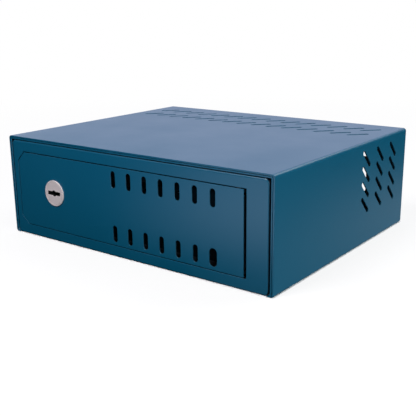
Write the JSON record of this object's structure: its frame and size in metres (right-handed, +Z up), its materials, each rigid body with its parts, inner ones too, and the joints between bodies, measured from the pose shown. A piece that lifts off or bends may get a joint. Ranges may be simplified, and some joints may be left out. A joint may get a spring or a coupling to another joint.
{
  "type": "recorder lock box",
  "caption": "Ventilated steel lock box for a video recorder, with a flush hinged door, a key lock that throws a flat bolt, slanting vents and rear cable windows.",
  "frame": {"origin": "on the bottom, in the middle of the whole outline, from the lock's face to the rivet heads", "axes": "+X to the right seen from the front, +Y to the back, +Z up"},
  "size_m": [0.336, 0.2791, 0.108],
  "materials": {
    "powder_coat": "semi-gloss deep teal powder coat with a fine texture",
    "satin_nickel": "satin nickel plate",
    "zinc_plate": "bright zinc plate",
    "rivet_aluminium": "satin",
    "black_rubber": "matt black",
    "black_nylon": "moulded"
  },
  "bodies": {
    "case": {"cover_shell": "powder_coat", "front_frame": "powder_coat", "base_tray": "powder_coat", "rear_panel": "powder_coat", "lower_window_trim": "black_rubber", "upper_window_trim": "black_rubber", "rear_rivets": "rivet_aluminium", "hinge_bracket_top": "powder_coat", "hinge_bracket_bottom": "powder_coat", "hinge_pin_top": "zinc_plate", "hinge_pin_bottom": "zinc_plate", "hinge_washer_top": "black_nylon", "hinge_washer_bottom": "black_nylon", "strike_bracket": "powder_coat", "door_stop_top": "powder_coat", "door_stop_bottom": "powder_coat", "door_bumpers": "black_rubber"},
    "door": {"door_panel": "powder_coat", "lock_housing": "satin_nickel", "lock_washer": "zinc_plate", "lock_nut": "zinc_plate", "bolt_guide_post": "zinc_plate", "lock_case": "zinc_plate", "lock_case_studs": "zinc_plate", "lock_case_nuts": "zinc_plate"},
    "plug": {"lock_plug": "satin_nickel", "lock_crank": "zinc_plate", "crank_pin": "zinc_plate"},
    "bolt": {"lock_bolt": "zinc_plate"}
  },
  "joints": [
    {"name": "door_hinge", "type": "hinge", "parent": "case", "child": "door", "pos_m": [0.131, -0.1332, 0.05167], "axis": [0, 0, 1], "range_deg": [0, 110]},
    {"name": "lock_turn", "type": "hinge", "parent": "door", "child": "plug", "pos_m": [-0.10075, -0.1382, 0.05287], "axis": [0, -1, 0], "range_deg": [0, 90]},
    {"name": "bolt_slide", "type": "slide", "parent": "door", "child": "bolt", "axis": [-1, 0, 0], "range_m": [0, 0.00848]}
  ],
  "couplings": [
    {"joint": "lock_turn", "follows": "bolt_slide", "rad_per_m": 185.12}
  ]
}
